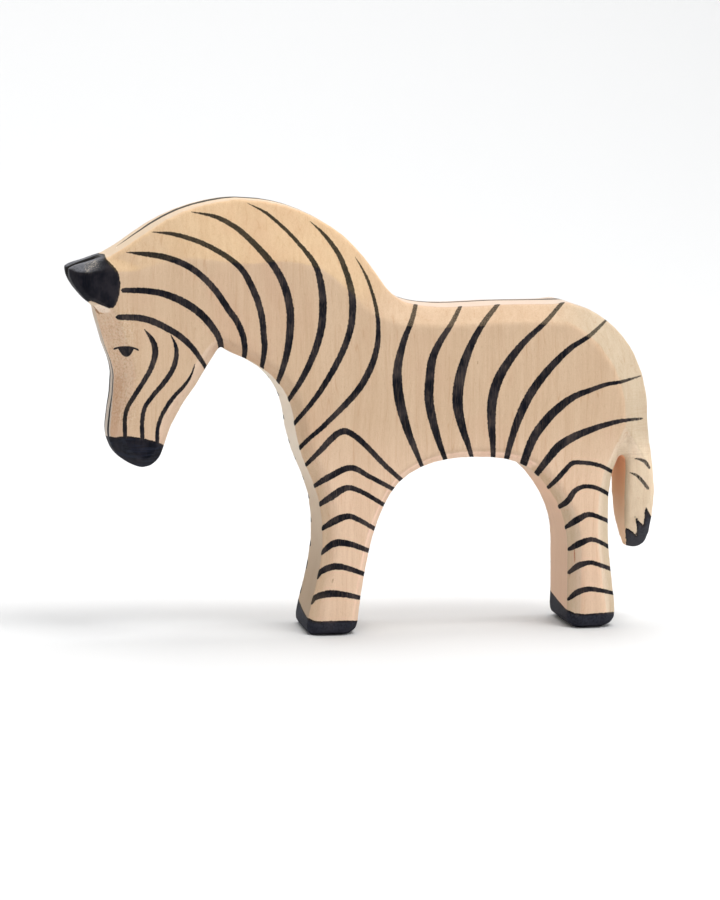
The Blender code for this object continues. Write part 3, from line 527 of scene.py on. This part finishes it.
def fine_mesh(source):
    """A close, even mesh of the carved piece with its edges taken off."""
    data = source.data.copy()
    data.transform(source.matrix_world)
    zebra = bpy.data.objects.new("zebra_carving", data)
    bpy.context.scene.collection.objects.link(zebra)
    data.materials.clear()

    weld = zebra.modifiers.new("weld", "WELD")
    weld.merge_threshold = WELD_DISTANCE * MM
    remesh = zebra.modifiers.new("even", "REMESH")
    remesh.mode = "VOXEL"
    remesh.voxel_size = MESH_STEP * MM
    soften = zebra.modifiers.new("soften", "SMOOTH")
    soften.iterations = EDGE_ROUNDS
    soften.factor = EDGE_SOFTNESS
    graph = bpy.context.evaluated_depsgraph_get()
    solid = bpy.data.meshes.new_from_object(zebra.evaluated_get(graph))
    zebra.modifiers.clear()
    zebra.data = solid
    solid.name = "zebra_carving"
    return zebra


def read_vectors(mesh, collection, name):
    values = np.empty(len(collection) * 3)
    collection.foreach_get(name, values)
    return values.reshape(-1, 3)


def hand_work(mesh):
    """Shallow unevenness that knife and sander leave; the soles stay flat."""
    place = read_vectors(mesh, mesh.vertices, "co") / MM
    normals = read_vectors(mesh, mesh.vertices, "normal")
    lift = np.empty(len(place))
    for i, point in enumerate(place):
        broad = noise.noise(Vector(point) / HOLLOW_SIZE)
        close = noise.noise(Vector(point) / (HOLLOW_SIZE * CLOSE_HOLLOWS) + CLOSE_SHIFT)
        lift[i] = broad + CLOSE_HOLLOWS * close
    keep = np.clip((place[:, 2] - SOLE_FLAT) / SOLE_BLEND, 0.0, 1.0)
    place = place + normals * (lift * keep * HOLLOW_DEPTH)[:, None]
    place[:, 2] = np.maximum(place[:, 2], 0.0)
    mesh.vertices.foreach_set("co", (place * MM).ravel())
    mesh.update()
    return place, normals


def convexity(mesh, place, normals):
    """How far each vertex stands out from its neighbours: edges high, hollows low."""
    ends = np.empty(len(mesh.edges) * 2, dtype=int)
    mesh.edges.foreach_get("vertices", ends)
    ends = ends.reshape(-1, 2)
    total = np.zeros(len(place))
    count = np.zeros(len(place))
    for first, second in ((0, 1), (1, 0)):
        here = ends[:, first]
        there = ends[:, second]
        rise = np.einsum("ij,ij->i", place[here] - place[there], normals[here])
        np.add.at(total, here, rise)
        np.add.at(count, here, 1.0)
    bend = total / np.maximum(count, 1.0)
    for _ in range(BEND_ROUNDS):
        spread = np.zeros(len(place))
        for first, second in ((0, 1), (1, 0)):
            np.add.at(spread, ends[:, first], bend[ends[:, second]])
        bend = 0.5 * bend + 0.5 * spread / np.maximum(count, 1.0)
    return bend


def store(mesh, name, values):
    layer = mesh.attributes.new(name, "FLOAT", "POINT")
    layer.data.foreach_set("value", values.astype(np.float32))


class Nodes:
    """Short ways to add shader nodes to one material, and the named fields that masks use."""

    # Sockets of a mix node that mixes colours
    SHARE = 0
    FIRST = 6
    SECOND = 7
    MIXED = 2

    def __init__(self, material):
        self.tree = material.node_tree
        self.fields = {}

    def put(self, socket, item):
        if isinstance(item, bpy.types.NodeSocket):
            self.tree.links.new(item, socket)
        else:
            socket.default_value = item

    def math(self, operation, *items):
        node = self.tree.nodes.new("ShaderNodeMath")
        node.operation = operation
        for socket, item in zip(node.inputs, items):
            self.put(socket, item)
        return node.outputs[0]

    def chain(self, operation, *items):
        """One operation carried through any number of items."""
        result = items[0]
        for item in items[1:]:
            result = self.math(operation, result, item)
        return result

    def rest_of(self, share):
        return self.math("SUBTRACT", 1.0, share)

    def swing(self, name, reach):
        """A field from nought to one, moved to swing by half the reach to each side."""
        return self.math("MULTIPLY_ADD", self.fields[name], reach, -0.5 * reach)

    def scaled(self, vector, factors):
        node = self.tree.nodes.new("ShaderNodeVectorMath")
        node.operation = "MULTIPLY"
        self.put(node.inputs[0], vector)
        node.inputs[1].default_value = factors
        return node.outputs[0]

    def noise(self, vector, factors, detail, roughness):
        node = self.tree.nodes.new("ShaderNodeTexNoise")
        self.put(node.inputs["Vector"], self.scaled(vector, factors))
        node.inputs["Scale"].default_value = 1.0
        node.inputs["Detail"].default_value = detail
        node.inputs["Roughness"].default_value = roughness
        return node.outputs["Fac"]

    def attribute(self, name):
        node = self.tree.nodes.new("ShaderNodeAttribute")
        node.attribute_name = name
        return node.outputs["Fac"]

    def ramp(self, item, low, high, to_low=0.0, to_high=1.0):
        """A soft step from low to high; a low above high makes it fall."""
        node = self.tree.nodes.new("ShaderNodeMapRange")
        node.interpolation_type = "SMOOTHSTEP"
        self.put(node.inputs["Value"], item)
        ends = (("From Min", low), ("From Max", high), ("To Min", to_low), ("To Max", to_high))
        for name, number in ends:
            node.inputs[name].default_value = number
        return node.outputs["Result"]

    def mask(self, limits):
        """Product of soft steps in named fields; a name alone takes the field as it is."""
        steps = []
        for name, *step in limits:
            field = self.fields[name]
            steps.append(self.ramp(field, *step) if step else field)
        return self.chain("MULTIPLY", *steps)

    def stain(self, colour, share, shade):
        """The colour with a share of another laid over it."""
        node = self.tree.nodes.new("ShaderNodeMix")
        node.data_type = "RGBA"
        self.put(node.inputs[self.SHARE], share)
        self.put(node.inputs[self.FIRST], colour)
        self.put(node.inputs[self.SECOND], shade)
        return node.outputs[self.MIXED]

    def tint(self, colour, share, factors):
        """The colour with a share of it multiplied by factors."""
        node = self.tree.nodes.new("ShaderNodeMix")
        node.data_type = "RGBA"
        node.blend_type = "MULTIPLY"
        node.inputs[self.SHARE].default_value = 1.0
        self.put(node.inputs[self.FIRST], colour)
        node.inputs[self.SECOND].default_value = factors + (1.0,)
        return self.stain(colour, share, node.outputs[self.MIXED])

    def finish(self, colour, rows):
        """The colour after each row's stain or tint, laid on in turn within its limits."""
        for kind, share, shade, limits in rows:
            share = self.math("MULTIPLY", self.mask(limits), share)
            if kind == "tint":
                colour = self.tint(colour, share, shade)
            else:
                colour = self.stain(colour, share, shade + (1.0,))
        return colour


def place_fields(n):
    """Where a point lies on the figure, in millimetres, and how its face is turned."""
    coordinates = n.tree.nodes.new("ShaderNodeTexCoord").outputs["Object"]
    place = n.scaled(coordinates, (1.0 / MM, 1.0 / MM, 1.0 / MM))
    parts = n.tree.nodes.new("ShaderNodeSeparateXYZ")
    n.put(parts.inputs[0], place)
    fields = n.fields
    fields["x"], fields["y"], fields["z"] = parts.outputs
    fields["across"] = n.math("ABSOLUTE", fields["y"])
    for name in ("upward", "forward", "bend"):
        fields[name] = n.attribute(name)
    downward = n.math("MULTIPLY", fields["upward"], -1.0)
    fields["turned_under"] = n.math("SUBTRACT", downward, fields["forward"])
    fields["sawn"] = n.ramp(n.attribute("sawn"), *SAWN_EDGE)
    fields["carved"] = n.rest_of(fields["sawn"])
    fields["facet"] = n.ramp(fields["upward"], *FACET_TILT)
    rub_edge = n.math("MULTIPLY_ADD", fields["z"], RUB_LEAN, RUB_X - RUB_Z * RUB_LEAN)
    fields["behind_rub"] = n.math("SUBTRACT", fields["x"], rub_edge)
    return place


def grain_fields(n, place):
    """Patterns of the wood and paint; those that follow the swaying fibres run up the legs."""
    swayed = n.tree.nodes.new("ShaderNodeVectorMath")
    swayed.operation = "MULTIPLY_ADD"
    n.put(swayed.inputs[0], n.noise(place, *SWAY_PATTERN))
    swayed.inputs[1].default_value = (SWAY, SWAY, 0.0)
    n.put(swayed.inputs[2], place)
    vectors = {"straight": place, "swaying": swayed.outputs[0]}
    fields = n.fields
    for name, (course, factors, detail, roughness) in NOISES.items():
        fields[name] = n.noise(vectors[course], factors, detail, roughness)
    tones = [n.math("MULTIPLY", fields[name], share) for name, share in TONE_SHARES.items()]
    fields["tone"] = n.chain("ADD", *tones)
    turns = n.math("FRACT", n.math("MULTIPLY", fields["growth"], GROWTH_LINES))
    fields["growth"] = n.math("ABSOLUTE", n.math("SUBTRACT", turns, 0.5))


def mark_share(n, oval):
    """One inside a long oval, broken up by a pattern and falling to nought at its rim."""
    middle_x, middle_z, half_length, half_width, turn = oval
    gap_x = n.math("SUBTRACT", n.fields["x"], middle_x)
    gap_z = n.math("SUBTRACT", n.fields["z"], middle_z)
    along = n.math("ADD", n.math("MULTIPLY", gap_x, math.cos(turn) / half_length),
                   n.math("MULTIPLY", gap_z, math.sin(turn) / half_length))
    aside = n.math("SUBTRACT", n.math("MULTIPLY", gap_z, math.cos(turn) / half_width),
                   n.math("MULTIPLY", gap_x, math.sin(turn) / half_width))
    reach = n.math("ADD", n.math("MULTIPLY", along, along), n.math("MULTIPLY", aside, aside))
    return n.math("MULTIPLY", n.ramp(reach, *MARK_RIM), n.mask(MARK_LIMITS))


def bare_wood(n):
    """Pale close-grained wood with its carved faces, end grain, marks and rounded edges, and painted light
    and shade by how its faces turn.
    """
    wood = n.finish(PALE_WOOD, WOOD_FINISH)
    # Painted reflection of warm bounced light on the tail's inner face
    bounced = n.stain(SLOT_BOUNCE_LIGHT, n.mask(SLOT_FOOT), SLOT_BOUNCE_LIGHT_BELOW)
    wood = n.stain(wood, n.math("MULTIPLY", n.mask(SLOT), SLOT_SHARE), bounced)
    wood = n.finish(wood, TAIL_AND_HEAD_FINISH)
    for oval, share, shade in MARKS.values():
        wood = n.stain(wood, n.math("MULTIPLY", mark_share(n, oval), share), shade + (1.0,))
    return n.finish(wood, EDGE_FINISH)


def eye(n):
    """Field of the drawn eye, positive inside: a bowed lash line with a half disc under it."""
    x = n.fields["x"]
    along = n.math("DIVIDE", n.math("SUBTRACT", x, EYE_X), LASH_REACH)
    bow = n.chain("MULTIPLY", along, along, LASH_DROP)
    above = n.math("ADD", n.math("SUBTRACT", n.fields["z"], EYE_Z), bow)
    taper = n.math("MULTIPLY", n.rest_of(n.math("ABSOLUTE", along)), LASH_TAPER)
    lash = n.math("SUBTRACT", n.math("MINIMUM", taper, LASH_HALF_WIDTH), n.math("ABSOLUTE", above))
    side = n.math("DIVIDE", n.math("SUBTRACT", x, IRIS_X), IRIS_REACH)
    depth = n.math("MULTIPLY", n.rest_of(n.math("MULTIPLY", side, side)), IRIS_DROP)
    iris = n.math("MINIMUM", n.math("ADD", above, depth), n.math("MULTIPLY", above, -1.0))
    return n.math("MAXIMUM", lash, n.math("MULTIPLY", iris, IRIS_SOFTNESS))


def nose_lines(n):
    """Field of the two lines on the front of the nose, positive inside."""
    taper = n.ramp(n.fields["z"], NOSE_LINE_TOP, NOSE_LINE_TOP - NOSE_LINE_TAPER, NOSE_LINE_START, 1.0)
    lines = []
    for middle, half in NOSE_LINES:
        gap = n.math("ABSOLUTE", n.math("SUBTRACT", n.fields["y"], middle))
        lines.append(n.math("SUBTRACT", n.math("MULTIPLY", taper, half), gap))
    before = n.math("SUBTRACT", NOSE_BEHIND, n.fields["x"])
    in_front = n.ramp(n.fields["forward"], *NOSE_FRONT, -OUTSIDE, OUTSIDE)
    return n.chain("MINIMUM", n.chain("MAXIMUM", *lines), before, in_front)


def painted_share(n):
    """Where paint lies, with wavering edges: strokes, solid areas, crest line, eye and nose."""
    waver = n.chain("ADD", *(n.swing(name, reach) for name, reach in WAVER.items()))
    strokes = []
    for layer in range(LAYERS):
        offset = n.math("ABSOLUTE", n.attribute("offset_%d" % layer))
        strokes.append(n.math("SUBTRACT", n.attribute("half_%d" % layer), offset))
    crest = n.math("SUBTRACT", n.attribute("crest"), n.fields["across"])
    patch = n.math("ADD", n.attribute("patch"), waver)
    n.fields["solid"] = n.ramp(patch, *SOLID_EDGE)
    n.fields["drawn"] = n.rest_of(n.fields["solid"])
    inside = n.math("ADD", n.chain("MAXIMUM", crest, *strokes), waver)
    drawn_eye = n.math("ADD", eye(n), n.math("MULTIPLY", waver, EYE_WAVER))
    drawn_nose = n.math("ADD", nose_lines(n), n.math("MULTIPLY", waver, NOSE_WAVER))
    return n.ramp(n.chain("MAXIMUM", inside, patch, drawn_eye, drawn_nose), *PAINT_EDGE)


def surface(n, shader, painted):
    """Roughness of wood and paint, and the relief of fibres, pores, flecks and paint."""
    rough_wood = n.math("MULTIPLY", n.mask(WOOD_ROUGHNESS), n.rest_of(painted))
    rough_paint = n.math("MULTIPLY", n.mask(PAINT_ROUGHNESS), painted)
    n.put(shader.inputs["Roughness"], n.math("ADD", rough_wood, rough_paint))
    shader.inputs["Specular IOR Level"].default_value = GLOSS

    height = n.math("MULTIPLY", painted, PAINT_HEIGHT)
    for lift, limits in RELIEF:
        height = n.math("ADD", height, n.math("MULTIPLY", n.mask(limits), lift))
    bump = n.tree.nodes.new("ShaderNodeBump")
    bump.inputs["Strength"].default_value = 1.0
    bump.inputs["Distance"].default_value = MM
    n.put(bump.inputs["Height"], height)
    n.put(shader.inputs["Normal"], bump.outputs["Normal"])


def painted_wood():
    """Pale close-grained wood with thin dark water paint, worn and watery in places."""
    material = bpy.data.materials.new("zebra_wood")
    material.use_nodes = True
    n = Nodes(material)
    shader = n.tree.nodes["Principled BSDF"]
    grain_fields(n, place_fields(n))
    wood = bare_wood(n)
    painted = painted_share(n)
    worn = n.chain("ADD", *(n.mask(limits) for limits in WORN_PAINT))
    worn = n.math("MULTIPLY", worn, n.math("MULTIPLY_ADD", n.fields["solid"], -SOLID_KEEPS, 1.0))
    cover = n.math("MULTIPLY", n.rest_of(worn), painted)
    n.put(shader.inputs["Base Color"], n.stain(wood, cover, n.finish(BLACK_PAINT, PAINT_FINISH)))
    surface(n, shader, painted)
    return material


def floor_sweep():
    """A pale floor that sweeps up behind the figure."""
    profile = [(FLOOR_FRONT, 0.0)]
    for step in range(SWEEP_STEPS + 1):
        angle = math.pi / 2 * step / SWEEP_STEPS
        back = SWEEP_START + SWEEP_RADIUS * math.sin(angle)
        profile.append((back, SWEEP_RADIUS * (1.0 - math.cos(angle))))
    profile.append((SWEEP_START + SWEEP_RADIUS, WALL_TOP))
    vertices = []
    for y, z in profile:
        vertices += [(-FLOOR_SIDE, y, z), (FLOOR_SIDE, y, z)]
    faces = [(2 * i, 2 * i + 1, 2 * i + 3, 2 * i + 2) for i in range(len(profile) - 1)]
    data = bpy.data.meshes.new("floor")
    data.from_pydata(vertices, [], faces)
    data.shade_smooth()
    floor = bpy.data.objects.new("floor", data)
    bpy.context.scene.collection.objects.link(floor)
    card = bpy.data.materials.new("pale_card")
    card.use_nodes = True
    shader = card.node_tree.nodes["Principled BSDF"]
    shader.inputs["Base Color"].default_value = CARD_GREY
    shader.inputs["Roughness"].default_value = CARD_ROUGHNESS
    data.materials.append(card)


def studio_light():
    """A soft pale world and broad soft lamps."""
    world = bpy.data.worlds.new("studio")
    world.use_nodes = True
    background = world.node_tree.nodes["Background"]
    background.inputs["Color"].default_value = WORLD_COLOUR
    background.inputs["Strength"].default_value = WORLD_STRENGTH
    bpy.context.scene.world = world
    for name, spot, size, power, target in LAMPS:
        light = bpy.data.lights.new(name, "AREA")
        light.size = size
        light.energy = power
        lamp = bpy.data.objects.new(name, light)
        lamp.location = spot
        lamp.rotation_euler = (target - Vector(spot)).to_track_quat("-Z", "Y").to_euler()
        bpy.context.scene.collection.objects.link(lamp)


def photo_camera():
    """The camera at the photograph's angle."""
    camera = bpy.data.objects.new("camera", bpy.data.cameras.new("camera"))
    camera.data.lens = VIEW_LENS
    camera.data.sensor_width = SENSOR_WIDTH
    camera.location = VIEW_FROM
    camera.rotation_euler = LOOKING.to_track_quat("-Z", "Y").to_euler()
    camera.data.clip_start = 0.01
    camera.data.clip_end = 20.0
    bpy.context.scene.collection.objects.link(camera)
    bpy.context.scene.camera = camera
    bpy.context.scene.view_settings.view_transform = "Standard"


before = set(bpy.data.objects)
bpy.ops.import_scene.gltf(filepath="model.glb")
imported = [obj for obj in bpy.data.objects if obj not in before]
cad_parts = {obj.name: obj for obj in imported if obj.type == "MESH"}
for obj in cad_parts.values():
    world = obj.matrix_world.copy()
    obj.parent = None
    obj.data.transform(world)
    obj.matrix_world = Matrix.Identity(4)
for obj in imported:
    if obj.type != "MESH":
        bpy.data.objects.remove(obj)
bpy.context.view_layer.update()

zebra = fine_mesh(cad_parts["zebra"])
place, normals = hand_work(zebra.data)
for label, values in paint_fields(place).items():
    store(zebra.data, label, values)
store(zebra.data, "bend", convexity(zebra.data, place, normals))
store(zebra.data, "upward", normals[:, 2])
store(zebra.data, "forward", -normals[:, 0])
zebra.data.shade_smooth()
zebra.data.materials.append(painted_wood())
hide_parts("zebra")
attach(zebra, "root")

floor_sweep()
studio_light()
photo_camera()
